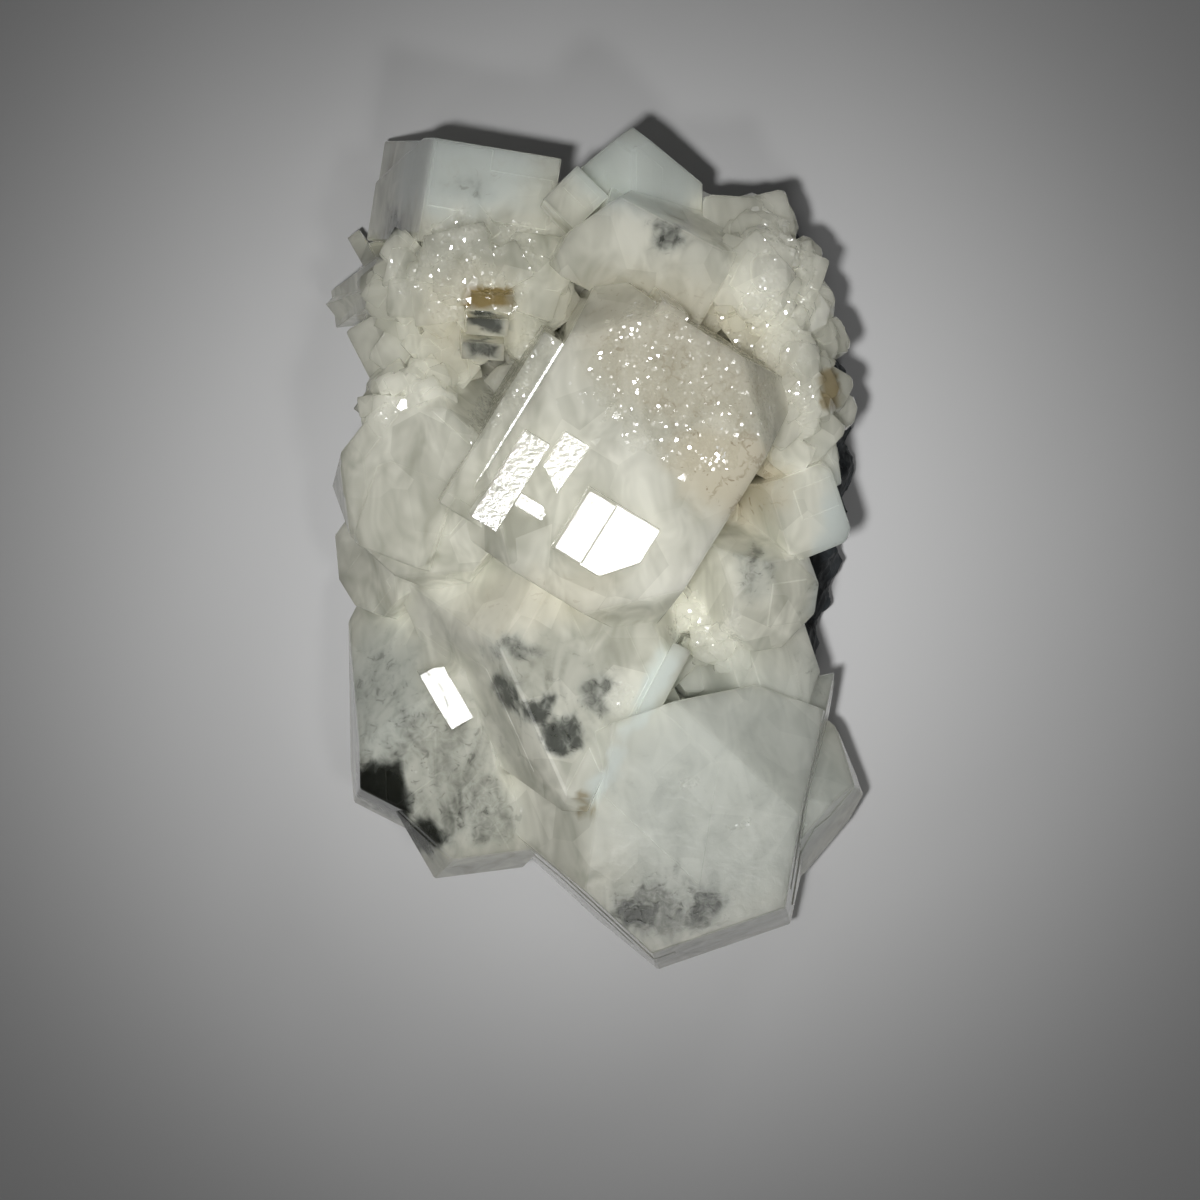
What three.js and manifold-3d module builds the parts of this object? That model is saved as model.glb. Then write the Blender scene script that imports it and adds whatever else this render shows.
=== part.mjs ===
// Fluorapophyllite specimen: intergrown tetragonal crystals on a slab of basalt, in millimetres.
// The specimen lies on the flat back of its basalt with the crystals up along +Z.
// Its display height runs along +Y. The origin is under the middle of its box, on the surface it rests on.
import * as THREE from "three";
import { mergeVertices } from "three/addons/utils/BufferGeometryUtils.js";
import Module from "manifold-3d";

const wasm = await Module();
wasm.setup();
const rad = THREE.MathUtils.degToRad;

// The normals of the pyramid faces stand this far from the c axis, from the cell ratio c / a of 1.76.
const pyramidAngle = rad(60.4);

// Basalt slab: its thickness, the lumps round its broken edge, and the gap that keeps the crystals off it.
const slabThickness = 7;
const lumps = {
  spacing: 4.6, radius: [3.2, 4.6], stretch: [0.8, 1.3], height: [3.4, 7], turn: [0, 3],
  inset: 0.95, seed: 7,
};
const contactGap = 0.45;
const slabHalfWidth = 18;
// The broken edge of the slab, anticlockwise from its lower right.
const slabEdge = [
  [19.5, -13], [20.5, -7], [21.6, -2], [22.4, 4], [23.2, 9], [23.6, 14], [23, 19], [21.5, 25],
  [17, 31], [8, 34], [-4, 34], [-14, 31], [-19, 23], [-20.5, 11], [-20, -2], [-18, -14],
  [-13, -22], [-3, -25], [8, -28], [15, -22],
];

// Each crystal: at, its middle; lean, how far its c axis tips from +Z; toward, the compass of that tip,
// 0 along +X and 90 along +Y; spin about c; wide, half its width across both prism pairs; tip and root,
// its middle to the free end and to the grown-in end; point, its middle to the pyramid faces.
// Some are cut short by upright contact faces: toward, the compass that such a face looks to, and reach,
// how far it is from the middle.
const mainTilt = { lean: 6, toward: -70, spin: -31.6 };
const terraceTilt = { lean: 8.5, toward: -62, spin: -31.6 };
const mainContact = [{ toward: 97, reach: 16.3 }];
const lowerRightContact = [{ toward: 70, reach: 13 }];
const upperLeftContact = [{ toward: 129, reach: 7.3 }];
const upperMiddleContact = [{ toward: 124, reach: 5.2 }];
const largeCrystals = [
  // the broad crystal in the middle, with its stepped left edge and three raised terraces
  { at: [2.1, 11, 22], ...mainTilt, wide: [11.5, 15], tip: 15, root: 14, point: 19.2, contact: mainContact },
  { at: [-7.4, 12.2, 33], ...mainTilt, wide: [4, 10], tip: 1.4, root: 12, point: 12 },
  { at: [-9.1, 8.3, 34], ...terraceTilt, wide: [1.5, 5.1], tip: 4, root: 6, point: 9 },
  { at: [0.4, 2.4, 34], ...terraceTilt, wide: [4.2, 3.6], tip: 3.2, root: 6, point: 9 },
  { at: [-3.6, 9.6, 34.2], ...terraceTilt, wide: [2, 3], tip: 3.3, root: 6, point: 6 },
  // the clear pointed crystal below it
  { at: [-4, -7.8, 21], lean: 56, toward: -84, spin: 36, wide: [12, 12], tip: 20, root: 10, point: 11 },
  // lower right: the largest pyramid face, and a crystal behind it
  {
    at: [7.1, -23.2, 16], lean: 82, toward: -71, spin: -26, wide: [16, 16], tip: 15.6, root: 6, point: 13.8,
    contact: lowerRightContact,
  },
  { at: [13.5, -21, 12], lean: 78, toward: -40, spin: 5, wide: [7, 7], tip: 11, root: 8, point: 11 },
  // lower left: one behind, one in front
  { at: [-15.2, -16, 14], lean: 80, toward: -117, spin: 18, wide: [9.5, 9.5], tip: 11, root: 8, point: 9.5 },
  { at: [-12.8, -20.6, 16], lean: 79, toward: -80, spin: 40, wide: [6.5, 6.5], tip: 10, root: 8, point: 9 },
  // left side
  { at: [-13.6, 8.5, 19], lean: 22, toward: 205, spin: 50, wide: [8.5, 9], tip: 12, root: 12, point: 13 },
  { at: [-18, 1.2, 16], lean: 55, toward: 200, spin: 40, wide: [5, 5], tip: 7, root: 8, point: 7.5 },
  // top, from left to right
  {
    at: [-13.4, 36, 16], lean: 13, toward: -5, spin: -9, wide: [6.6, 5.2], tip: 11, root: 13, point: 13,
    contact: upperLeftContact,
  },
  { at: [-2.8, 35.2, 25], lean: 10, toward: 60, spin: 45, wide: [2.4, 2.2], tip: 5, root: 12, point: 6 },
  { at: [3.2, 31.4, 16], lean: 40, toward: 90, spin: 0, wide: [7, 7], tip: 16, root: 13, point: 9 },
  {
    at: [4.6, 31.5, 24], lean: 16, toward: -100, spin: -28, wide: [8, 5], tip: 8, root: 10, point: 11,
    contact: upperMiddleContact,
  },
  // right side, downwards
  { at: [17.6, 4.8, 20], lean: 25, toward: 0, spin: 20, wide: [3.6, 4.2], tip: 8, root: 14, point: 8 },
  { at: [13.8, -1.5, 22], lean: 42, toward: -40, spin: 0, wide: [5, 5], tip: 7, root: 14, point: 7.5 },
  { at: [13, -9.5, 17], lean: 35, toward: 10, spin: 20, wide: [5, 7.5], tip: 7, root: 12, point: 9 },
];

// Patches of small crystals: at, the height of their ends in the middle of the ellipse they fill; reach, its
// half axes; fall, how much lower its rim is; size, half width of the least and largest; flare, the most
// that they lean.
const druse = [
  { at: [-13, 27.5, 30.5], reach: [9.5, 7], fall: 5, count: 34, size: [1.3, 3.2], flare: 20, seed: 3 },
  { at: [-21, 27.2, 24], reach: [1.8, 2], fall: 4, count: 6, size: [1.2, 2.2], flare: 24, seed: 11 },
  { at: [-17.5, 18, 28.5], reach: [5, 7], fall: 6, count: 16, size: [1.6, 3.2], flare: 22, seed: 17 },
  { at: [15, 27.5, 31.5], reach: [6.8, 7], fall: 8, count: 26, size: [1.3, 3], flare: 24, seed: 23 },
  { at: [18.6, 17, 31], reach: [5.4, 11], fall: 9, count: 32, size: [1.3, 3], flare: 26, seed: 29 },
  { at: [11, -7, 27], reach: [5, 3], fall: 3, count: 9, size: [1.2, 2.4], flare: 20, seed: 31 },
];

// The bed of larger crystals that fills in below the others.
const bed = { at: [0, 1.5, 26], reach: [17, 29], fall: 9, count: 34, size: [4.5, 6.5], flare: 40, seed: 5 };

// How the small crystals of a patch vary: in lean and its compass, in width, in length for their width and
// in the height of their ends.
const habit = {
  leaning: [0.6, 1.2], sway: [-20, 20], uneven: [0.8, 1.2],
  slender: [1.1, 1.6], height: [-0.8, 0.4], root: 16, blunt: [1.35, 1.9],
};

// Low hillocks on the rough upper half of the main crystal's end face, each turned a little from it.
const hillocks = {
  at: [7.5, 15, 36.7], reach: [9, 9], count: 16, size: [0.8, 2.4], seed: 41,
  uneven: [0.7, 1.5], height: [0.1, 0.6], tip: 3, root: 6, shoulder: 2.4, sway: [-8, 8], swing: 5,
};

// Three flat treads that step down beside the main crystal's upper left edge.
const treads = {
  at: [-10.8, 26, 29.5], by: [-0.45, -2.4, 0.4], count: 3,
  lean: 14, toward: -80, spin: -4, wide: [2.1, 0.85], tip: 2.4, root: 9, point: 6,
};

const crystalFinish = new THREE.MeshPhysicalMaterial({
  color: 0xd9dcd2, roughness: 0.12, metalness: 0, transmission: 0.6, ior: 1.535,
});
const basaltFinish = new THREE.MeshStandardMaterial({ color: 0x2c2f33, roughness: 0.85, metalness: 0 });

function randomFrom(seed) {
  let state = seed;
  return () => {
    state = (state + 0x6d2b79f5) | 0;
    let t = Math.imul(state ^ (state >>> 15), 1 | state);
    t = (t + Math.imul(t ^ (t >>> 7), 61 | t)) ^ t;
    return ((t ^ (t >>> 14)) >>> 0) / 4294967296;
  };
}

function solidOf(geometry) {
  const bare = geometry.clone();
  bare.deleteAttribute("normal");
  bare.deleteAttribute("uv");
  const merged = mergeVertices(bare);
  return new wasm.Manifold(
    new wasm.Mesh({
      numProp: 3,
      vertProperties: merged.attributes.position.array,
      triVerts: new Uint32Array(merged.index.array),
    }),
  );
}

function geometryOf(solid) {
  const { vertProperties, triVerts } = solid.getMesh();
  const geometry = new THREE.BufferGeometry();
  geometry.setAttribute("position", new THREE.BufferAttribute(vertProperties, 3));
  geometry.setIndex(new THREE.BufferAttribute(triVerts, 1));
  return geometry;
}

// The direction that tips from +Z by lean, towards a compass with 0 along +X.
function compass(toward, lean) {
  const flat = Math.sin(rad(lean));
  return new THREE.Vector3(flat * Math.cos(rad(toward)), flat * Math.sin(rad(toward)), Math.cos(rad(lean)));
}

// A square prism whose free end has four pyramid faces, over its corners, and a flat end face.
function crystal({ at, lean, toward, spin, wide, tip, root, point, contact = [] }) {
  const prism = new THREE.BoxGeometry(2 * wide[0], 2 * wide[1], tip + root);
  prism.translate(0, 0, (tip - root) / 2);
  let solid = solidOf(prism);
  for (const corner of [45, 135, 225, 315]) {
    const outward = new THREE.Vector3().setFromSphericalCoords(1, pyramidAngle, rad(corner));
    solid = solid.trimByPlane([-outward.z, -outward.x, -outward.y], -point);
  }
  const axis = compass(toward, lean);
  const up = new THREE.Vector3(0, 0, 1);
  const turn = new THREE.Quaternion()
    .setFromUnitVectors(up, axis)
    .multiply(new THREE.Quaternion().setFromAxisAngle(up, rad(spin)));
  const place = new THREE.Matrix4().compose(new THREE.Vector3(...at), turn, new THREE.Vector3(1, 1, 1));
  solid = solid.transform(place.elements);
  for (const face of contact) {
    const outward = compass(face.toward, 90);
    const limit = outward.dot(new THREE.Vector3(...at)) + face.reach;
    solid = solid.trimByPlane(outward.negate().toArray(), -limit);
  }
  return solid;
}

function between([least, most], random) {
  return THREE.MathUtils.lerp(least, most, random());
}

// Crystals scattered over an ellipse, leaning outwards more the nearer they stand to its rim.
function patch({ at, reach, fall, count, size, flare, seed }) {
  const random = randomFrom(seed);
  return Array.from({ length: count }, () => {
    const out = Math.sqrt(random());
    const turned = random() * 360;
    const half = THREE.MathUtils.lerp(...size, random() ** 2);
    const tip = half * between(habit.slender, random);
    const lean = flare * out * between(habit.leaning, random);
    const toward = turned + between(habit.sway, random);
    const spin = 90 * random();
    const end = compass(turned, 90).multiplyScalar(out);
    end.multiply(new THREE.Vector3(...reach, 0)).add(new THREE.Vector3(...at));
    end.z += between(habit.height, random) - fall * out * out;
    return crystal({
      at: end.addScaledVector(compass(toward, lean), -tip).toArray(),
      lean,
      toward,
      spin,
      wide: [half, half * between(habit.uneven, random)],
      tip,
      root: habit.root,
      point: half * between(habit.blunt, random),
    });
  });
}

function hillockSolids({ at, reach, count, size, seed, uneven, height, tip, root, shoulder, sway, swing }) {
  const random = randomFrom(seed);
  const slope = compass(mainTilt.toward, mainTilt.lean);
  return Array.from({ length: count }, () => {
    const out = Math.sqrt(random());
    const aside = compass(random() * 360, 90).multiplyScalar(out);
    aside.multiply(new THREE.Vector3(...reach, 0));
    const half = between(size, random);
    aside.z = -aside.dot(slope) / slope.z;
    aside.addScaledVector(slope, between(height, random) - tip).add(new THREE.Vector3(...at));
    return crystal({
      at: aside.toArray(),
      lean: mainTilt.lean + between(sway, random),
      toward: mainTilt.toward + swing * between(sway, random),
      spin: mainTilt.spin + between(sway, random),
      wide: [half, half * between(uneven, random)],
      tip,
      root,
      point: half + shoulder,
    });
  });
}

function treadSolids({ by, count, ...first }) {
  return Array.from({ length: count }, (_, step) =>
    crystal({ ...first, at: first.at.map((value, axis) => value + by[axis] * step) }),
  );
}

// A slab with a flat back and a row of broken lumps round its edge, or the same slab grown by a gap.
function basaltSlab(grow) {
  const outline = new THREE.Shape(slabEdge.map(([x, y]) => new THREE.Vector2(x, y)));
  const core = new THREE.ExtrudeGeometry(outline, { depth: slabThickness + grow, bevelEnabled: false });
  const share = 1 + grow / slabHalfWidth;
  const random = randomFrom(lumps.seed);
  const edge = outline.getSpacedPoints(Math.round(outline.getLength() / lumps.spacing));
  const stones = edge.map(({ x, y }) => {
    const stone = new THREE.DodecahedronGeometry(between(lumps.radius, random) + grow);
    stone.rotateX(between(lumps.turn, random));
    stone.rotateY(between(lumps.turn, random));
    const squash = [0, 1, 2].map(() => between(lumps.stretch, random));
    stone.scale(...squash);
    stone.translate(x * lumps.inset, y * lumps.inset, between(lumps.height, random));
    return solidOf(stone);
  });
  return wasm.Manifold.union([solidOf(core.scale(share, share, 1)), ...stones]).trimByPlane([0, 0, 1], 0);
}

const slab = basaltSlab(0);
const grown = wasm.Manifold.union([
  ...largeCrystals.map(crystal),
  ...patch(bed),
  ...druse.flatMap(patch),
  ...hillockSolids(hillocks),
  ...treadSolids(treads),
]);
// The outer skin alone: gaps sealed in between grown-together crystals are left solid.
const cluster = grown
  .subtract(basaltSlab(contactGap))
  .trimByPlane([0, 0, 1], 1)
  .decompose()
  .reduce((largest, body) => (body.volume() > largest.volume() ? body : largest));

function named(name, solid, material) {
  const mesh = new THREE.Mesh(geometryOf(solid), material);
  mesh.name = name;
  return mesh;
}

const specimen = new THREE.Group();
specimen.add(named("crystal_cluster", cluster, crystalFinish));
specimen.add(named("basalt_matrix", slab, basaltFinish));
const box = new THREE.Box3().setFromObject(specimen);
const middle = box.getCenter(new THREE.Vector3());
specimen.position.set(-middle.x, -middle.y, -box.min.z);

export default specimen;
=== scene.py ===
import math

import bmesh
import bpy
import numpy
from mathutils import Matrix, Quaternion, Vector, noise


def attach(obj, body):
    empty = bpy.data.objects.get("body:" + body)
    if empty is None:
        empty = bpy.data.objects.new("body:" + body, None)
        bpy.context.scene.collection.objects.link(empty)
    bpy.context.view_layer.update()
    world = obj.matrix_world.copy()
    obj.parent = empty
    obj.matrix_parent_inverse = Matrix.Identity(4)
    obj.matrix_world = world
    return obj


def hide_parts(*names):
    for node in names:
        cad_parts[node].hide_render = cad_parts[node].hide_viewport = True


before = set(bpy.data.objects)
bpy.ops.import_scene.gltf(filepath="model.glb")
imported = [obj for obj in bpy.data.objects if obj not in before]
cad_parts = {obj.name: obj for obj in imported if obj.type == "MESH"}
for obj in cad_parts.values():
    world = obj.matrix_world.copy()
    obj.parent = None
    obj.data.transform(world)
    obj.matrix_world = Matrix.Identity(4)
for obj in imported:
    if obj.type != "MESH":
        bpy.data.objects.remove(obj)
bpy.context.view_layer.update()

# The lists below are in millimetres, +Z up. Their zero lies here in the frame.
mm = 0.001
listZero = Vector((0.33, -1.02, 0))


def hexColour(code, alpha=1.0):
    # sRGB hex to linear
    parts = [int(code[i:i + 2], 16) / 255 for i in (1, 3, 5)]
    return [c / 12.92 if c <= 0.04045 else ((c + 0.055) / 1.055) ** 2.4 for c in parts] + [alpha]


def addNode(tree, kind, inputs, **settings):
    node = tree.nodes.new(kind)
    for name, value in settings.items():
        setattr(node, name, value)
    for socket, value in inputs.items():
        if isinstance(value, bpy.types.NodeSocket):
            tree.links.new(value, node.inputs[socket])
        else:
            node.inputs[socket].default_value = value
    return node


def newMaterial(name):
    # with an empty tree but for the place on the piece in millimetres
    material = bpy.data.materials.new(name)
    material.use_nodes = True
    tree = material.node_tree
    tree.nodes.clear()
    coords = addNode(tree, "ShaderNodeTexCoord", {})
    place = addNode(tree, "ShaderNodeVectorMath", {
        0: coords.outputs["Object"], "Scale": 1 / mm}, operation="SCALE")
    return material, tree, place.outputs[0]


def randomFrom(seed):
    # 32-bit generator, the same draws on every run
    full = 0xFFFFFFFF
    state = seed

    def draw():
        nonlocal state
        state = (state + 0x6D2B79F5) & full
        t = ((state ^ (state >> 15)) * (1 | state)) & full
        t = ((t + (((t ^ (t >> 7)) * (61 | t)) & full)) & full) ^ t
        return ((t ^ (t >> 14)) & full) / (full + 1)

    return draw


def between(pair, draw):
    return pair[0] + (pair[1] - pair[0]) * draw()


def compass(toward, lean):
    # unit vector that tips from +Z by lean, towards a compass with 0 along +X
    a, b = math.radians(toward), math.radians(lean)
    return Vector((math.sin(b) * math.cos(a), math.sin(b) * math.sin(a), math.cos(b)))


# Crystals: one tetragonal form, a square prism with four pyramid faces over its corners and a flat end
pyramidAngle = 60.4
corners = (45, 135, 225, 315)

mainTilt = {"lean": 6, "toward": -70, "spin": -31.6}
terraceTilt = {"lean": 8.5, "toward": -62, "spin": -31.6}

# at: middle; wide: half widths; tip, root: middle to the free and the grown-in end; point: middle to the
# pyramid faces; contact: compass and reach of upright faces against a neighbour; plates: growth steps on it;
# edge: its bevel, where it isn't the usual one
largeCrystals = {
    "main": {"at": (2.1, 11, 22), **mainTilt, "wide": (11.5, 15), "tip": 15, "root": 14, "point": 19.2,
             "contact": [(97, 16.3)], "plates": 0},
    "mainEdge": {"at": (-7.4, 12.2, 33), **mainTilt, "wide": (4.0, 10), "tip": 1.4, "root": 12, "point": 12,
                 "plates": 10},
    "leftTerrace": {"at": (-9.1, 8.3, 34), **terraceTilt, "wide": (1.5, 5.1), "tip": 4.0, "root": 6,
                    "point": 9, "plates": 0},
    "lowerTerrace": {"at": (0.4, 2.4, 34), **terraceTilt, "wide": (4.2, 3.6), "tip": 3.2, "root": 6,
                     "point": 9, "contact": [(-72, 3.8)], "plates": 0},
    "splitTerrace": {"at": (-1.7, 3.7, 34.32), **terraceTilt, "wide": (1.7, 3.5), "tip": 3.55, "root": 6,
                     "point": 9, "edge": 0.22, "plates": 0},
    "middleTerrace": {"at": (-3.6, 9.6, 34.2), **terraceTilt, "wide": (2.0, 3.0), "tip": 3.3, "root": 6,
                      "point": 6, "contact": [(206, 2.0), (-36, 1.3)], "plates": 0},
    "raggedTerrace": {"at": (-7.0, 5.6, 34), **terraceTilt, "wide": (1.6, 0.7), "tip": 3.25, "root": 6,
                      "point": 6, "contact": [(20, 1.2)], "plates": 3},
    "sideFacet": {"at": (-15.5, -13.2, 22.7), "lean": 9, "toward": -60, "spin": 30, "wide": (1.3, 3.2),
                  "tip": 3, "root": 8, "point": 6, "contact": [(100, 2.6)], "plates": 2},
    "brightFacet": {"at": (1.2, 15.0, 34.4), **terraceTilt, "wide": (0.7, 0.6), "tip": 3.3, "root": 6,
                    "point": 4, "plates": 0},
    "leftFold": {"at": (-17.5, 4.7, 23.2), "lean": 17, "toward": 185, "spin": -20, "wide": (4.2, 4.6),
                 "tip": 7, "root": 8, "point": 8.2, "plates": 0},
    "rimFacet": {"at": (5.3, -14.1, 26.7), "lean": 10, "toward": 62, "spin": -28, "wide": (1.0, 5.4),
                 "tip": 5, "root": 8, "point": 6.2, "plates": 0},
    "window": {"at": (-4.0, -7.8, 21), "lean": 56, "toward": -84, "spin": 36, "wide": (12, 12), "tip": 20,
               "root": 10, "point": 11, "plates": 5},
    "lowerRight": {"at": (7.1, -23.2, 16), "lean": 82, "toward": -71, "spin": -26, "wide": (16, 16),
                   "tip": 15.6, "root": 6, "point": 13.8, "contact": [(70, 13)], "plates": 5},
    "lowerRightBack": {"at": (13.5, -21, 12), "lean": 78, "toward": -40, "spin": 5, "wide": (7, 7),
                       "tip": 11, "root": 8, "point": 11, "plates": 4},
    "lowerLeftBack": {"at": (-15.2, -16, 14), "lean": 80, "toward": -117, "spin": 18, "wide": (9.5, 9.5),
                      "tip": 11, "root": 8, "point": 9.5, "plates": 5},
    "lowerLeftFront": {"at": (-12.8, -20.6, 16), "lean": 79, "toward": -80, "spin": 40, "wide": (6.5, 6.5),
                       "tip": 10, "root": 8, "point": 9, "plates": 5},
    "left": {"at": (-13.6, 8.5, 19), "lean": 22, "toward": 205, "spin": 50, "wide": (8.5, 9), "tip": 12,
             "root": 12, "point": 13, "plates": 7},
    "leftLow": {"at": (-18, 1.2, 16), "lean": 55, "toward": 200, "spin": 40, "wide": (5, 5), "tip": 7,
                "root": 8, "point": 7.5, "plates": 5},
    "upperLeft": {"at": (-13.4, 36, 16), "lean": 13, "toward": -5, "spin": -9, "wide": (6.6, 5.2), "tip": 11,
                  "root": 13, "point": 13, "contact": [(129, 7.3)], "plates": 6},
    "topCube": {"at": (-2.8, 35.2, 25), "lean": 10, "toward": 60, "spin": 45, "wide": (2.4, 2.2), "tip": 5,
                "root": 12, "point": 6, "plates": 2},
    "peak": {"at": (3.2, 31.4, 16), "lean": 40, "toward": 90, "spin": 0, "wide": (7, 7), "tip": 16,
             "root": 13, "point": 9, "plates": 4},
    "upperMiddle": {"at": (4.6, 31.5, 24), "lean": 16, "toward": -100, "spin": -28, "wide": (8, 5), "tip": 8,
                    "root": 10, "point": 11, "contact": [(124, 5.2)], "plates": 4},
    "rightHigh": {"at": (17.6, 4.8, 20), "lean": 25, "toward": 0, "spin": 20, "wide": (3.6, 4.2), "tip": 8,
                  "root": 14, "point": 8, "plates": 4},
    "rightMiddle": {"at": (13.8, -1.5, 22), "lean": 42, "toward": -40, "spin": 0, "wide": (5, 5), "tip": 7,
                    "root": 14, "point": 7.5, "plates": 4},
    "rightLow": {"at": (13, -9.5, 17), "lean": 35, "toward": 10, "spin": 20, "wide": (5, 7.5), "tip": 7,
                 "root": 12, "point": 9, "plates": 4},
}

# patches of small crystals over an ellipse: at, its middle at the height of their ends; reach, its half
# axes; fall, how much lower its rim is; size, their half widths; flare, their lean at the rim; fine, the
# smaller crystals in between
druse = [
    {"at": (-13, 27.5, 30.5), "reach": (9.5, 7), "fall": 5, "count": 34, "size": (1.3, 3.2), "flare": 20,
     "seed": 3, "fine": 60},
    {"at": (-21, 27.2, 24), "reach": (1.8, 2), "fall": 4, "count": 6, "size": (1.2, 2.2), "flare": 24,
     "seed": 11, "fine": 16},
    {"at": (-17.5, 18, 28.5), "reach": (5, 7), "fall": 6, "count": 16, "size": (1.6, 3.2), "flare": 22,
     "seed": 17, "fine": 34},
    {"at": (15, 27.5, 31.5), "reach": (6.8, 7), "fall": 8, "count": 26, "size": (1.3, 3), "flare": 24,
     "seed": 23, "fine": 66},
    {"at": (18.6, 17, 31), "reach": (5.4, 11), "fall": 9, "count": 32, "size": (1.3, 3), "flare": 26,
     "seed": 29, "fine": 76},
    {"at": (11, -7, 27), "reach": (5, 3), "fall": 3, "count": 9, "size": (1.2, 2.4), "flare": 20,
     "seed": 31, "fine": 16},
    {"at": (-19, 15, 31.2), "reach": (4.2, 3.2), "fall": 2.4, "count": 0, "size": (1.6, 3.2), "flare": 18,
     "seed": 47, "fine": 34},
]
bed = {"at": (0, 1.5, 26), "reach": (17, 29), "fall": 9, "count": 34, "size": (4.5, 6.5), "flare": 40,
       "seed": 5, "fine": 0}
habit = {"leaning": (0.6, 1.2), "sway": (-20, 20), "uneven": (0.8, 1.2), "slender": (1.1, 1.6),
         "height": (-0.8, 0.4), "root": 16, "blunt": (1.35, 1.9), "fineness": 0.6, "fineSeed": 100}

# low hillocks on the rough upper half of the main crystal's end face
hillocks = {"at": (7.5, 15, 36.7), "reach": (9, 9), "count": 16, "size": (0.8, 2.4), "seed": 41,
            "uneven": (0.7, 1.5), "height": (0.1, 0.6), "root": 6, "tip": 3, "shoulder": 2.4,
            "sway": (-8, 8), "swing": 5}
fineHillocks = {**hillocks, "at": (4.6, 15.2, 37.36), "reach": (8.2, 7.8), "count": 170, "size": (0.15, 0.7),
                "height": (-0.12, 0.06), "sway": (-6, 6), "seed": 141}
# a flight of small steps, each set off from the last
treads = {"at": (-10.8, 26, 29.5), "by": (-0.45, -2.4, 0.4), "count": 3, "lean": 14, "toward": -80,
          "spin": -4, "wide": (2.1, 0.85), "tip": 2.4, "root": 9, "point": 6}
# growth plates: their share of the crystal's width, and how far they stand off its faces and its end
plating = {"share": (0.3, 0.75), "proud": (0.03, 0.14), "endProud": (-0.4, 0.16), "seed": 77}
# edge: the bevel, and its most as a share of the half width; floor: the lowest height; longest: what edges
# are cut to, in so many rounds at most; sameSpot is in metres
cut = {"edge": 0.14, "edgeShare": 0.05, "floor": 1.0, "weld": 0.02, "longest": 1.15, "rounds": 7,
       "onPlane": 1e-5, "sameSpot": 1e-6}


def cutFace(bm, point, normal):
    sliced = bmesh.ops.bisect_plane(bm, geom=bm.verts[:] + bm.edges[:] + bm.faces[:],
                                    dist=cut["onPlane"], plane_co=point, plane_no=normal, clear_outer=True)
    rim = [part for part in sliced["geom_cut"] if isinstance(part, bmesh.types.BMEdge)]
    if rim:
        bmesh.ops.contextual_create(bm, geom=rim)


def turnOf(crystal):
    axis = compass(crystal["toward"], crystal["lean"])
    spin = Quaternion((0, 0, 1), math.radians(crystal["spin"]))
    return Vector((0, 0, 1)).rotation_difference(axis) @ spin


def growCrystal(crystal):
    bm = bmesh.new()
    wide, tip, root = crystal["wide"], crystal["tip"], crystal["root"]
    size = Matrix.Diagonal((2 * wide[0], 2 * wide[1], tip + root, 1))
    bmesh.ops.create_cube(bm, size=1, matrix=Matrix.Translation((0, 0, (tip - root) / 2)) @ size)
    for corner in corners:
        normal = compass(corner, pyramidAngle)
        cutFace(bm, normal * crystal["point"], normal)
    place = Matrix.Translation(crystal["at"]) @ turnOf(crystal).to_matrix().to_4x4()
    bmesh.ops.transform(bm, matrix=place, verts=bm.verts)
    for toward, reach in crystal.get("contact", []):
        normal = compass(toward, 90)
        cutFace(bm, Vector(crystal["at"]) + normal * reach, normal)
    cutFace(bm, Vector((0, 0, cut["floor"])), Vector((0, 0, -1)))
    bmesh.ops.remove_doubles(bm, verts=bm.verts, dist=cut["weld"])
    edge = crystal.get("edge", min(cut["edge"], cut["edgeShare"] * min(wide)))
    bmesh.ops.bevel(bm, geom=bm.edges[:], offset=edge, offset_type="OFFSET", affect="EDGES", segments=1,
                    profile=0.5, material=-1, clamp_overlap=True)
    bmesh.ops.recalc_face_normals(bm, faces=bm.faces)
    mesh = bpy.data.meshes.new("crystal")
    bm.to_mesh(mesh)
    bm.free()
    return bpy.data.objects.new("crystal", mesh)


def platesOn(crystal, draw):
    # thin parallel growth: narrower copies inside the crystal that stand just proud of a face
    made = []
    turn = turnOf(crystal)
    for _ in range(crystal["plates"]):
        wide = [half * between(plating["share"], draw) for half in crystal["wide"]]
        slide = Vector([(2 * draw() - 1) * (full - part) for full, part in zip(crystal["wide"], wide)] + [0])
        outermost = max(slide.dot(compass(corner, pyramidAngle)) for corner in corners)
        made.append({**crystal, "at": Vector(crystal["at"]) + turn @ slide, "wide": wide,
                     "tip": crystal["tip"] + between(plating["endProud"], draw),
                     "point": crystal["point"] - outermost + between(plating["proud"], draw)})
    return made


def patch(area, fine):
    draw = randomFrom(area["seed"] + (habit["fineSeed"] if fine else 0))
    shrink = habit["fineness"] if fine else 1
    made = []
    for _ in range(area["fine"] if fine else area["count"]):
        out = math.sqrt(draw())
        turned = draw() * 360
        half = shrink * (area["size"][0] + (area["size"][1] - area["size"][0]) * draw() ** 2)
        rim = compass(turned, 90) * out
        tip = half * between(habit["slender"], draw)
        tilt = {"lean": area["flare"] * out * between(habit["leaning"], draw),
                "toward": turned + between(habit["sway"], draw), "spin": 90 * draw()}
        end = Vector(area["at"]) + Vector((rim.x * area["reach"][0], rim.y * area["reach"][1],
                                           between(habit["height"], draw) - area["fall"] * out * out))
        made.append({
            **tilt,
            "at": end - compass(tilt["toward"], tilt["lean"]) * tip,
            "wide": (half, half * between(habit["uneven"], draw)),
            "tip": tip,
            "root": habit["root"],
            "point": half * between(habit["blunt"], draw),
        })
    return made


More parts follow.
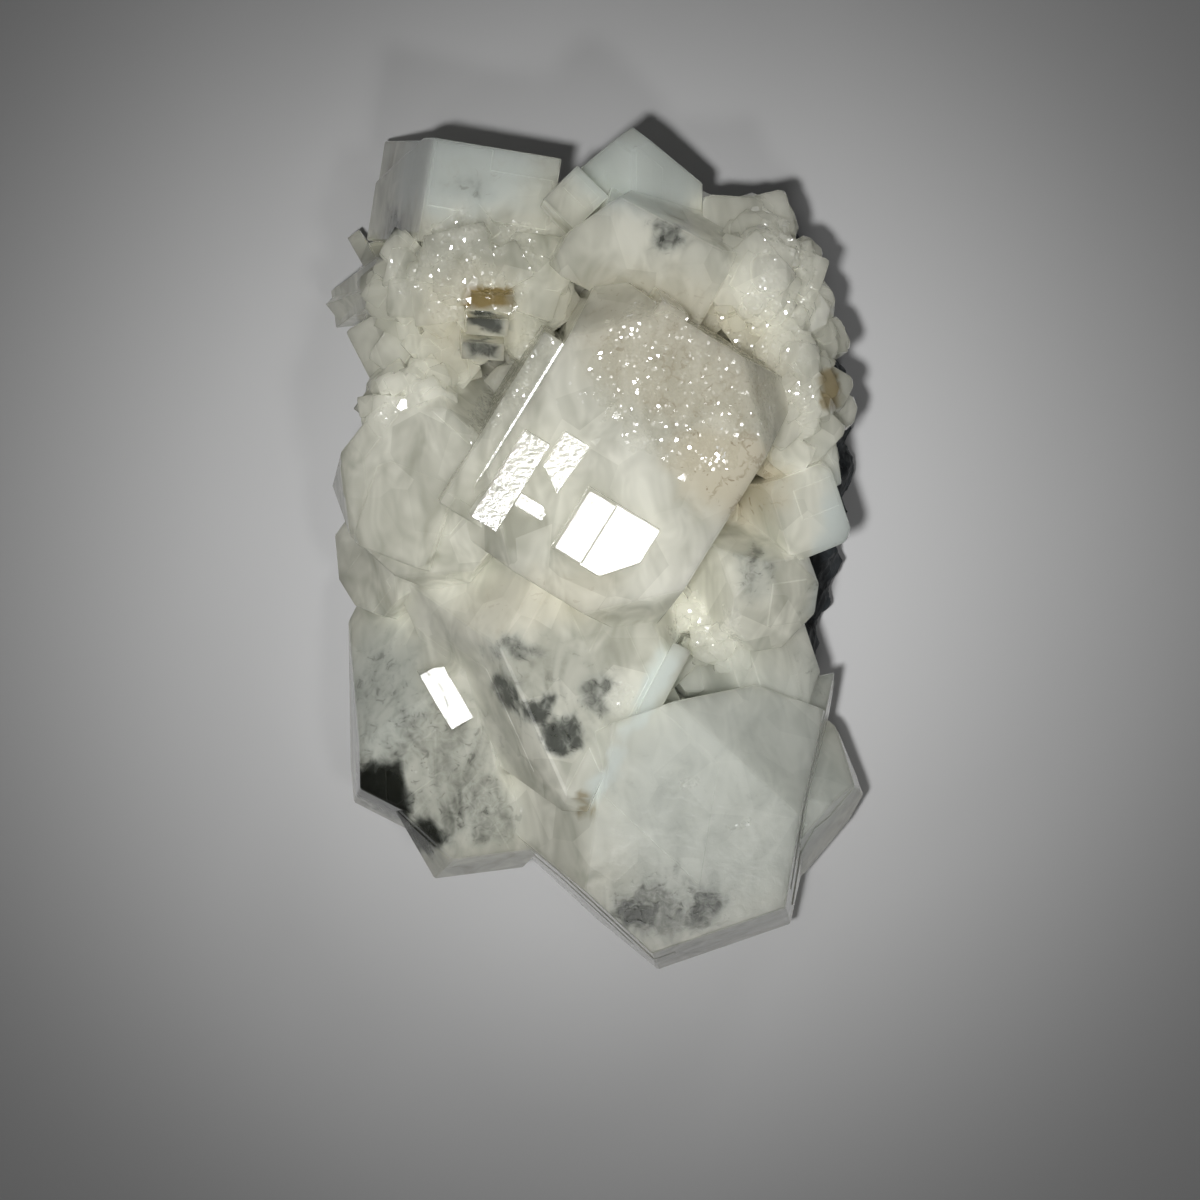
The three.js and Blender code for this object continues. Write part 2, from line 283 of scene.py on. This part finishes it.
def hillocksOn(area):
    draw = randomFrom(area["seed"])
    slope = compass(mainTilt["toward"], mainTilt["lean"])
    made = []
    for _ in range(area["count"]):
        out = math.sqrt(draw())
        rim = compass(draw() * 360, 90) * out
        half = between(area["size"], draw)
        aside = Vector((rim.x * area["reach"][0], rim.y * area["reach"][1], 0))
        aside.z = -aside.dot(slope) / slope.z
        made.append({
            "at": Vector(area["at"]) + aside + slope * (between(area["height"], draw) - area["tip"]),
            "lean": mainTilt["lean"] + between(area["sway"], draw),
            "toward": mainTilt["toward"] + area["swing"] * between(area["sway"], draw),
            "spin": mainTilt["spin"] + between(area["sway"], draw),
            "wide": (half, half * between(area["uneven"], draw)),
            "tip": area["tip"],
            "root": area["root"],
            "point": half + area["shoulder"],
        })
    return made


def evaluated(piece):
    seen = piece.evaluated_get(bpy.context.evaluated_depsgraph_get())
    return bpy.data.meshes.new_from_object(seen)


def mergedCopy(node, name):
    bm = bmesh.new()
    bm.from_mesh(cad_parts[node].data)
    bmesh.ops.remove_doubles(bm, verts=bm.verts, dist=cut["sameSpot"])
    mesh = bpy.data.meshes.new(name)
    bm.to_mesh(mesh)
    bm.free()
    return bpy.data.objects.new(name, mesh)


def largestShell(bm):
    # keeps the outer skin and drops shells sealed inside it
    left = set(bm.verts)
    shells = []
    while left:
        queue = [left.pop()]
        shell = set(queue)
        while queue:
            for edge in queue.pop().link_edges:
                for vert in edge.verts:
                    if vert in left:
                        left.remove(vert)
                        shell.add(vert)
                        queue.append(vert)
        shells.append(shell)
    widest = max(shells, key=len)
    bmesh.ops.delete(bm, geom=[vert for vert in bm.verts if vert not in widest], context="VERTS")


def splitLong(bm):
    # flat faces cut to about a millimetre, so that their corners can hold the zones of the finish
    for _ in range(cut["rounds"]):
        bmesh.ops.triangulate(bm, faces=[face for face in bm.faces if len(face.verts) > 3])
        far = [edge for edge in bm.edges if edge.calc_length() > cut["longest"]]
        if not far:
            break
        bmesh.ops.subdivide_edges(bm, edges=far, cuts=1, use_grid_fill=True, use_single_edge=True)
    bmesh.ops.triangulate(bm, faces=[face for face in bm.faces if len(face.verts) > 3])


def growCluster():
    draw = randomFrom(plating["seed"])
    coarse = list(largeCrystals.values()) + patch(bed, False) + hillocksOn(hillocks)
    fine = hillocksOn(fineHillocks)
    for crystal in largeCrystals.values():
        coarse += platesOn(crystal, draw)
    for area in druse:
        coarse += patch(area, False)
        fine += patch(area, True)
    for step in range(treads["count"]):
        coarse.append({**treads, "at": Vector(treads["at"]) + Vector(treads["by"]) * step})
    grown = [growCrystal(crystal) for crystal in coarse + fine]
    print("crystals grown:", len(grown))

    # all of them joined in one solid, then seated on the rock
    others = bpy.data.collections.new("others")
    for crystal in grown[1:]:
        others.objects.link(crystal)
    bpy.context.scene.collection.children.link(others)
    bpy.context.scene.collection.objects.link(grown[0])
    rock = mergedCopy("basalt_matrix", "rockSeat")
    rock.data.transform(Matrix.Translation(-listZero) @ Matrix.Scale(1 / mm, 4))
    bpy.context.scene.collection.objects.link(rock)
    joined = grown[0].modifiers.new("joined", "BOOLEAN")
    joined.operation, joined.solver, joined.operand_type = "UNION", "MANIFOLD", "COLLECTION"
    joined.collection = others
    seated = grown[0].modifiers.new("seated", "BOOLEAN")
    seated.operation, seated.solver, seated.object = "DIFFERENCE", "MANIFOLD", rock
    mesh = evaluated(grown[0])
    for used in grown + [rock]:
        bpy.data.objects.remove(used)
    bpy.data.collections.remove(others)

    bm = bmesh.new()
    bm.from_mesh(mesh)
    largestShell(bm)
    splitLong(bm)
    bmesh.ops.transform(bm, matrix=Matrix.Scale(mm, 4) @ Matrix.Translation(listZero), verts=bm.verts)
    bm.to_mesh(mesh)
    bm.free()
    mesh.validate()
    mesh.name = "crystalCluster"
    print("cluster faces:", len(mesh.polygons))
    return bpy.data.objects.new("crystalCluster", mesh)


cluster = growCluster()
bpy.context.scene.collection.objects.link(cluster)
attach(cluster, "root")
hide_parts("crystal_cluster")


# Basalt: the rock under the crystals, broken all round and flat at the back
rockFinish = {"voxel": 0.55, "chips": [(5.0, 0.55), (1.7, 0.35), (0.7, 0.16)], "flatBack": 0.3,
              "smooth": 0.5}


def breakRock():
    rock = mergedCopy("basalt_matrix", "basaltMatrix")
    bpy.context.scene.collection.objects.link(rock)
    remesh = rock.modifiers.new("remesh", "REMESH")
    remesh.mode, remesh.voxel_size = "VOXEL", rockFinish["voxel"] * mm
    mesh = evaluated(rock)
    rock.modifiers.clear()
    rock.data = mesh
    mesh.name = "basaltMatrix"
    bm = bmesh.new()
    bm.from_mesh(mesh)
    bmesh.ops.smooth_vert(bm, verts=bm.verts, factor=rockFinish["smooth"], use_axis_x=True, use_axis_y=True,
                          use_axis_z=True)
    bm.normal_update()
    # chipped inwards, so that it stays clear of the crystals
    for vert in bm.verts:
        place = vert.co / mm
        depth = sum(deep * abs(noise.noise(place / wide)) for wide, deep in rockFinish["chips"])
        if place.z > rockFinish["flatBack"]:
            vert.co -= vert.normal * depth * mm
        vert.co.z = max(vert.co.z, 0) if place.z > rockFinish["flatBack"] else 0
    bm.to_mesh(mesh)
    bm.free()
    print("rock faces:", len(mesh.polygons))
    return rock


rock = breakRock()
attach(rock, "root")
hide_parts("basalt_matrix")


# Fluorapophyllite: glassy faces over a milky body, clear in a few windows, with dirt in its rough parts.
# Its zones are soft ellipses seen from above: middle, half axes and turn in mm and degrees, and strength.
stone = {
    # colours
    "milk": "#a2a293", "bright": "#e4e3d5", "warm": "#cac2aa", "cool": "#d2d9d3", "clear": "#a6aaa2",
    # dark is painted shade, for the gloom that the clear windows show through them
    "tan": "#8c7b52", "dark": "#343631", "dirt": "#6a5330", "speck": "#33322d", "fleckGlint": "#f6f6f2",
    # body
    "ior": 1.535, "absorb": "#dfe8e0", "density": 14.0, "milky": 1.0, "milkDepth": 6.0,
    "milkSpread": (1.0, 1.0, 0.92), "roughness": (0.06, 0.13), "through": (0.06, 0.8),
    # grain of the patterns in mm
    "wisp": 3.2, "streak": (1.0, 0.55, 0.8), "grit": 1.0, "plane": 5.0, "vein": 2.6, "bend": 1.6,
    "facet": 0.26, "facetMiddle": (0.5, 0.5, 0.5),
    "wispNoise": {"Detail": 2.0, "Roughness": 0.66, "Distortion": 0.7},
    "gritNoise": {"Detail": 2.0, "Roughness": 0.7, "Distortion": 0.8},
    # where each mask starts and ends, and how much one pattern adds to another
    "veinLine": {"From Min": 0.1, "From Max": 0.0, "To Max": 0.6},
    "veinPatch": {"From Min": 0.49, "From Max": 0.6},
    "dots": {"From Min": 0.62, "From Max": 0.68, "To Max": 0.7},
    # the white flecks below are partly inclusions and partly painted glints
    "flecksAndGlints": {"From Min": 0.6, "From Max": 0.66, "To Max": 0.8},
    "torn": {"From Min": 0.78, "From Max": 1.24},
    "clouds": {"From Min": 0.3, "From Max": 0.95},
    "glinting": {"From Min": 0.26, "From Max": 0.2601, "To Max": 0.7},
    "fleckGlintWisps": -0.8, "windowGrit": 0.5, "windowZone": 0.5, "windowCore": 1.6, "dirtCovers": -0.6,
    # on the next line, the lift of the milky zones is partly painted light on lit faces
    "cloudPlanes": 0.25, "milkyAndLitLift": -0.3, "stain": 1.2, "glintWisps": -1.0,
    "bump": {"Strength": 0.1, "Distance": 0.12 * mm},
    # zones: where their rims end and start, the width and depth of the noise that bends them, and the height
    # where they end and the rise over which they grow; angular ones have straight rims
    "fade": (1.25, 0.5), "warp": (1.8, 1.1), "warpSeed": 7, "deep": (11, 7),
    "angular": ("dark", "tan"), "sharpFade": (1.1, 0.9), "sharpDeep": (15.5, 3.5),
}
zones = {
    "clear": [((-4, -13), (6.5, 6), 0, 0.2), ((-12.5, -25), (5, 4), 0, 0.5),
              ((-8.6, -9), (3.3, 1.5), 0, 0.55), ((-8.9, -13.1), (1.6, 2.2), 30, 0.7),
              ((-6, -14.8), (2, 1.6), 0, 0.8), ((-3.9, -17.4), (2.2, 2), 0, 0.85),
              ((-0.5, -13.1), (2.2, 2), 0, 0.65), ((-21.8, -23.5), (3.4, 4.2), 0, 1.1),
              ((-17.6, -27.5), (3, 2), 0, 0.9), ((-18, -21), (9, 10), 0, 0.4), ((-22, -13), (4, 7), 0, 0.3),
              ((6.8, -34.5), (7, 4), 10, 0.5), ((3.8, -35), (2.8, 1.8), -10, 0.75),
              ((10.6, -34.3), (2.4, 1.7), 0, 0.7), ((12, -25), (14, 10), 0, 0.06),
              ((15.5, -1.2), (2.2, 3.2), 0, 0.5), ((22.8, -6), (3, 9), -8, 0.4),
              ((-11.2, 23.6), (2.3, 1), 0, 0.9), ((-11.7, 21), (2.3, 1), 0, 0.7),
              ((-21.5, 33.5), (1.8, 2.2), 0, 0.8), ((6.5, 32), (1.8, 2), 0, 0.65),
              ((-13.5, 37), (3, 1.2), 0, 0.25)],
    # milky: faces painted lighter, partly a milkier body and partly painted light where faces stand lit
    "milky": [((9, -2), (11, 5), -30, 0.6), ((21, 6), (4, 5), 0, 0.6), ((3, 39), (6, 5), 0, 1.0),
              ((-10, -5), (9, 4), 0, 0.6), ((1, 6), (6, 6), 0, 0.5), ((2.0, -13.3), (1.8, 3.4), -20, 1.0),
              ((-6.8, -18), (1.3, 8), 30, 0.9), ((-13, 38), (9, 4), 0, 1.0), ((4, 39), (8, 5), 0, 1.0),
              ((5, 32), (8, 4), 0, 0.5), ((-17.5, 18), (6, 6), 0, 0.4), ((19, 27), (6, 9), 0, 0.9),
              ((12, -24), (12, 9), 0, 0.15), ((13, 24), (6, 8), 0, 0.6)],
    # dark: painted shade, the dark seen through the clear crystal laid onto its faces
    "dark": [((-21.9, -23.6), (2.6, 3.2), 8, 0.97), ((-17.6, -27.6), (1.6, 1.3), 20, 0.85)],
    "dirt": [((8, 20), (13, 8), -30, 0.45), ((12.5, 9), (7, 5), -30, 0.75), ((-6, -4), (9, 3.5), 10, 0.28),
             ((-12, 38), (8, 2), 0, 0.25), ((-13, 24), (6, 6), 0, 0.3)],
    "tan": [((-11, 26), (2.4, 1), 0, 1.0), ((-1.3, -24.2), (0.9, 1.2), 0, 0.8),
            ((22.8, 17), (1, 2), 0, 0.8), ((-12, 38.6), (7, 1.2), 0, 0.4)],
    "cool": [((-14, 39), (10, 5), 0, 0.9), ((4, 39), (8, 5), 0, 0.9), ((14, -23), (16, 14), 0, 0.5),
             ((-22, -13), (5, 8), 0, 0.4), ((23.6, -2), (2.6, 12), 0, 1.0),
             ((5.2, -13.2), (1.6, 6), -28, 1.0), ((0.6, -21.4), (1.2, 4), -28, 0.9)],
    "rough": [((8, 17), (13, 10), -30, 1.0), ((-12.6, 29), (11, 8), 0, 0.8), ((18.5, 24), (6, 15), 0, 0.8),
              ((-9, 18), (2.5, 11), -32, 1.0), ((11, -7), (6, 4), 0, 0.8),
              ((2.0, -13.3), (1.6, 3), -20, 0.9), ((-6.8, -18), (1.0, 8), 30, 0.5),
              ((9, -22), (1.6, 0.9), 20, 0.9), ((13.5, -26.5), (2.2, 0.9), 15, 0.9),
              ((8, -30), (3, 1.2), 20, 0.6), ((-16, -21.5), (3, 1.4), 0, 0.6),
              ((-10.5, -25.5), (3, 1.6), 10, 0.6), ((-19.5, 15), (4.5, 4), 0, 0.7)],
}


def paintZones(mesh):
    spots = numpy.empty(3 * len(mesh.vertices))
    mesh.vertices.foreach_get("co", spots)
    spots = spots.reshape(-1, 3) / mm - numpy.array(listZero)
    width, depth = stone["warp"]
    noise.seed_set(stone["warpSeed"])
    wavering = spots + [depth * noise.noise_vector(Vector(spot) / width) for spot in spots]
    for name, ellipses in zones.items():
        strongest = numpy.zeros(len(spots))
        sharp = name in stone["angular"]
        outer, inner = stone["sharpFade" if sharp else "fade"]
        low, rise = stone["sharpDeep" if sharp else "deep"]
        placed = spots if sharp else wavering
        for (x, y), (a, b), turned, strength in ellipses:
            along, aside = math.cos(math.radians(turned)), math.sin(math.radians(turned))
            dx, dy = placed[:, 0] - x, placed[:, 1] - y
            u, v = abs(dx * along + dy * aside) / a, abs(dy * along - dx * aside) / b
            far = numpy.maximum(u, v) if sharp else numpy.hypot(u, v)
            soft = numpy.clip((outer - far) / (outer - inner), 0, 1)
            strongest = numpy.maximum(strongest, strength * soft * soft * (3 - 2 * soft))
        strongest *= numpy.clip((spots[:, 2] - low) / rise, 0, 1)
        mesh.attributes.new(name, "FLOAT", "POINT").data.foreach_set("value", strongest)


def apophylliteMaterial():
    material, tree, place = newMaterial("fluorapophyllite")
    zone = {name: addNode(tree, "ShaderNodeAttribute", {}, attribute_name=name).outputs["Fac"]
            for name in zones}
    streaked = addNode(tree, "ShaderNodeVectorMath", {0: place, 1: stone["streak"]}, operation="MULTIPLY")
    wisps = addNode(tree, "ShaderNodeTexNoise", {
        "Vector": streaked.outputs[0], "Scale": 1 / stone["wisp"], **stone["wispNoise"]})
    grit = addNode(tree, "ShaderNodeTexNoise", {
        "Vector": place, "Scale": 1 / stone["grit"], **stone["gritNoise"]})
    facets = addNode(tree, "ShaderNodeTexVoronoi", {"Vector": place, "Scale": 1 / stone["facet"]})
    planes = addNode(tree, "ShaderNodeTexVoronoi", {"Vector": place, "Scale": 1 / stone["plane"]})

    # dirt lies in veins and specks in its own zones, darker specks sit in the windows
    bent = addNode(tree, "ShaderNodeVectorMath", {
        0: grit.outputs["Color"], 1: (stone["bend"],) * 3, 2: place}, operation="MULTIPLY_ADD")
    cells = addNode(tree, "ShaderNodeTexVoronoi", {
        "Vector": bent.outputs[0], "Scale": 1 / stone["vein"]}, feature="DISTANCE_TO_EDGE")
    lines = addNode(tree, "ShaderNodeMapRange", {"Value": cells.outputs["Distance"], **stone["veinLine"]})
    patchy = addNode(tree, "ShaderNodeMapRange", {"Value": wisps.outputs["Fac"], **stone["veinPatch"]})
    veins = addNode(tree, "ShaderNodeMath", {
        0: lines.outputs[0], 1: patchy.outputs[0]}, operation="MULTIPLY")
    dotted = addNode(tree, "ShaderNodeMapRange", {"Value": grit.outputs["Fac"], **stone["dots"]})
    soiled = addNode(tree, "ShaderNodeMath", {
        0: veins.outputs[0], 1: dotted.outputs[0]}, operation="MAXIMUM")
    dirt = addNode(tree, "ShaderNodeMath", {0: soiled.outputs[0], 1: zone["dirt"]}, operation="MULTIPLY")
    specks = addNode(tree, "ShaderNodeMath", {0: dotted.outputs[0], 1: zone["clear"]}, operation="MULTIPLY")

    # white flecks in the rough parts: partly small inclusions, partly painted glints
    gathered = addNode(tree, "ShaderNodeMath", {
        0: wisps.outputs["Fac"], 1: stone["fleckGlintWisps"], 2: facets.outputs["Color"]},
        operation="MULTIPLY_ADD")
    sprinkled = addNode(tree, "ShaderNodeMapRange", {"Value": gathered.outputs[0], **stone["flecksAndGlints"]})
    flecksAndGlints = addNode(tree, "ShaderNodeMath", {
        0: sprinkled.outputs[0], 1: zone["rough"]}, operation="MULTIPLY")

    # windows are ragged with wisps of milk
    crumbled = addNode(tree, "ShaderNodeMath", {
        0: grit.outputs["Fac"], 1: stone["windowGrit"], 2: wisps.outputs["Fac"]}, operation="MULTIPLY_ADD")
    ragged = addNode(tree, "ShaderNodeMath", {
        0: zone["clear"], 1: stone["windowZone"], 2: crumbled.outputs[0]}, operation="MULTIPLY_ADD")
    torn = addNode(tree, "ShaderNodeMapRange", {
        "Value": ragged.outputs[0], **stone["torn"]}, interpolation_type="SMOOTHSTEP")
    core = addNode(tree, "ShaderNodeMath", {
        0: zone["clear"], 1: stone["windowCore"]}, operation="MULTIPLY", use_clamp=True)
    window = addNode(tree, "ShaderNodeMath", {0: torn.outputs[0], 1: core.outputs[0]}, operation="MULTIPLY")
    seen = addNode(tree, "ShaderNodeMapRange", {
        "Value": window.outputs[0], "To Min": stone["through"][0], "To Max": stone["through"][1]})
    through = addNode(tree, "ShaderNodeMath", {
        0: dirt.outputs[0], 1: stone["dirtCovers"], 2: seen.outputs[0]},
        operation="MULTIPLY_ADD", use_clamp=True)

    # clouds, and flat cleavage planes inside that stand a little lighter or darker
    clouded = addNode(tree, "ShaderNodeMath", {
        0: planes.outputs["Color"], 1: stone["cloudPlanes"], 2: wisps.outputs["Fac"]},
        operation="MULTIPLY_ADD")
    # milky zones paint faces lighter: partly a milkier body, partly painted light
    lifted = addNode(tree, "ShaderNodeMath", {
        0: zone["milky"], 1: stone["milkyAndLitLift"], 2: clouded.outputs[0]}, operation="MULTIPLY_ADD")
    shaded = addNode(tree, "ShaderNodeMapRange", {"Value": lifted.outputs[0], **stone["clouds"]})
    colour = addNode(tree, "ShaderNodeMix", {
        "Factor": shaded.outputs[0], 6: hexColour(stone["bright"]), 7: hexColour(stone["milk"])},
        data_type="RGBA").outputs[2]
    stained = addNode(tree, "ShaderNodeMath", {
        0: zone["dirt"], 1: stone["stain"]}, operation="MULTIPLY", use_clamp=True)
    # tints over the body colour; dark among them is painted shade
    for tint, mask in (("warm", stained.outputs[0]), ("tan", zone["tan"]), ("cool", zone["cool"]),
                       ("clear", zone["clear"]), ("dark", zone["dark"]), ("dirt", dirt.outputs[0]),
                       ("speck", specks.outputs[0]), ("fleckGlint", flecksAndGlints.outputs[0])):
        colour = addNode(tree, "ShaderNodeMix", {
            "Factor": mask, 6: colour, 7: hexColour(stone[tint])}, data_type="RGBA").outputs[2]

    # rough parts are set with tiny facets, each turned its own way, that glint
    rough = addNode(tree, "ShaderNodeMapRange", {
        "Value": zone["rough"], "To Min": stone["roughness"][0], "To Max": stone["roughness"][1]})
    bump = addNode(tree, "ShaderNodeBump", {"Height": grit.outputs["Fac"], **stone["bump"]})
    scattered = addNode(tree, "ShaderNodeMath", {
        0: wisps.outputs["Fac"], 1: stone["glintWisps"], 2: zone["rough"]}, operation="MULTIPLY_ADD")
    tilted = addNode(tree, "ShaderNodeMapRange", {"Value": scattered.outputs[0], **stone["glinting"]})
    turned = addNode(tree, "ShaderNodeVectorMath", {
        0: facets.outputs["Color"], 1: stone["facetMiddle"]}, operation="SUBTRACT")
    leaned = addNode(tree, "ShaderNodeVectorMath", {
        0: turned.outputs[0], 1: tilted.outputs[0], 2: bump.outputs[0]}, operation="MULTIPLY_ADD")
    normal = addNode(tree, "ShaderNodeVectorMath", {0: leaned.outputs[0]}, operation="NORMALIZE")
    surface = addNode(tree, "ShaderNodeBsdfPrincipled", {
        "Base Color": colour, "Roughness": rough.outputs[0], "IOR": stone["ior"],
        "Transmission Weight": through.outputs[0], "Subsurface Weight": stone["milky"],
        "Subsurface Radius": stone["milkSpread"], "Subsurface Scale": stone["milkDepth"] * mm,
        "Normal": normal.outputs[0]}, subsurface_method="BURLEY")
    inside = addNode(tree, "ShaderNodeVolumeAbsorption", {
        "Color": hexColour(stone["absorb"]), "Density": stone["density"]})
    addNode(tree, "ShaderNodeOutputMaterial", {"Surface": surface.outputs[0], "Volume": inside.outputs[0]})
    return material


paintZones(cluster.data)
cluster.data.materials.clear()
cluster.data.materials.append(apophylliteMaterial())
print("crystal finish done")


# Basalt: fine dark lava, broken, dull with a few lighter grains
basalt = {"dark": "#17191b", "light": "#3b4246", "roughness": (0.55, 0.9), "grain": 0.7, "patch": 4.0,
          "patchNoise": {"Detail": 8.0, "Roughness": 0.7}, "shade": {"From Min": 0.35, "From Max": 0.7},
          "bump": {"Strength": 0.5, "Distance": 0.2 * mm}}


def basaltMaterial():
    material, tree, place = newMaterial("broken basalt")
    patches = addNode(tree, "ShaderNodeTexNoise", {
        "Vector": place, "Scale": 1 / basalt["patch"], **basalt["patchNoise"]})
    shade = addNode(tree, "ShaderNodeMapRange", {"Value": patches.outputs["Fac"], **basalt["shade"]})
    grains = addNode(tree, "ShaderNodeTexVoronoi", {"Vector": place, "Scale": 1 / basalt["grain"]})
    colour = addNode(tree, "ShaderNodeMix", {
        "Factor": shade.outputs[0], 6: hexColour(basalt["dark"]), 7: hexColour(basalt["light"])},
        data_type="RGBA")
    rough = addNode(tree, "ShaderNodeMapRange", {
        "Value": grains.outputs["Color"], "To Min": basalt["roughness"][0],
        "To Max": basalt["roughness"][1]})
    bump = addNode(tree, "ShaderNodeBump", {"Height": grains.outputs["Distance"], **basalt["bump"]})
    surface = addNode(tree, "ShaderNodeBsdfPrincipled", {
        "Base Color": colour.outputs[2], "Roughness": rough.outputs[0], "Normal": bump.outputs[0]})
    addNode(tree, "ShaderNodeOutputMaterial", {"Surface": surface.outputs[0]})
    return material


rock.data.materials.clear()
rock.data.materials.append(basaltMaterial())
print("rock finish done")


# Floor, lights and camera
stage = {"floorHalf": 1.5, "floor": "#cacaca", "matt": 0.8, "drop": 0.0002, "room": "#c8cacc",
         "world": 0.035}
# the key light is overhead and its cone leaves a pool on the floor; the flash is what the terraces mirror
keyLight = {"lean": 5, "toward": 222, "distance": 1.3, "radius": 0.035, "power": 56, "cone": 6.1,
            "blend": 1.0}
softLights = [
    # name, direction from the specimen (compass, lean), distance m, size m, power W
    ("broadSoft", (60, 42), 0.6, 0.14, 0.15),
    ("fillSoft", (-150, 50), 0.6, 0.12, 0.08),
    ("lowSoft", (-78, 50), 0.6, 0.12, 0.08),
    ("terraceFlash", (-61.5, 17.2), 0.6, 0.055, 0.26),
]
# small bright lamps that the tiny facets catch
glints = {"count": 9, "lean": (22, 50), "distance": 0.8, "size": 0.016, "power": (0.006, 0.018),
          "turn": 137.5, "start": 195}
# in mm: what the camera looks at, how far it stands, and the width it sees at this depth
view = {"middle": (0, -4), "distance": 2000, "width": 120, "depth": 15, "sensor": 36}

floorMesh = bpy.data.meshes.new("floor")
bm = bmesh.new()
bmesh.ops.create_grid(bm, x_segments=1, y_segments=1, size=stage["floorHalf"])
bmesh.ops.translate(bm, verts=bm.verts, vec=(0, 0, -stage["drop"]))
bm.to_mesh(floorMesh)
bm.free()
floor = bpy.data.objects.new("floor", floorMesh)
bpy.context.scene.collection.objects.link(floor)

paper = bpy.data.materials.new("pale matt paper")
paper.use_nodes = True
paperFace = paper.node_tree.nodes["Principled BSDF"]
paperFace.inputs["Base Color"].default_value = hexColour(stage["floor"])
paperFace.inputs["Roughness"].default_value = stage["matt"]
floorMesh.materials.append(paper)


def addLight(name, lamp, toward, lean, distance):
    shine = bpy.data.objects.new(name, lamp)
    away = compass(toward, lean)
    shine.location = away * distance
    shine.rotation_euler = away.to_track_quat("Z", "Y").to_euler()
    bpy.context.scene.collection.objects.link(shine)


key = bpy.data.lights.new("key", "SPOT")
key.energy, key.shadow_soft_size = keyLight["power"], keyLight["radius"]
key.spot_size, key.spot_blend = math.radians(keyLight["cone"]), keyLight["blend"]
addLight("key", key, keyLight["toward"], keyLight["lean"], keyLight["distance"])
for name, (toward, lean), distance, size, power in softLights:
    lamp = bpy.data.lights.new(name, "AREA")
    lamp.size, lamp.energy = size, power
    addLight(name, lamp, toward, lean, distance)
for step in range(glints["count"]):
    lamp = bpy.data.lights.new("glint", "AREA")
    share = (step + 0.5) / glints["count"]
    lean, power = (low + (high - low) * share for low, high in (glints["lean"], glints["power"]))
    lamp.size, lamp.energy = glints["size"], power
    addLight("glint", lamp, glints["start"] + glints["turn"] * step, lean, glints["distance"])

world = bpy.data.worlds.new("softRoom")
world.use_nodes = True
world.node_tree.nodes["Background"].inputs["Color"].default_value = hexColour(stage["room"])
world.node_tree.nodes["Background"].inputs["Strength"].default_value = stage["world"]
bpy.context.scene.world = world

camera = bpy.data.cameras.new("camera")
camera.sensor_width = view["sensor"]
camera.lens = view["sensor"] * (view["distance"] - view["depth"]) / view["width"]
cameraObject = bpy.data.objects.new("camera", camera)
cameraObject.location = Vector((*view["middle"], view["distance"])) * mm + listZero * mm
bpy.context.scene.collection.objects.link(cameraObject)
bpy.context.scene.camera = cameraObject
print("stage done")

bpy.context.scene.view_settings.view_transform = "Standard"
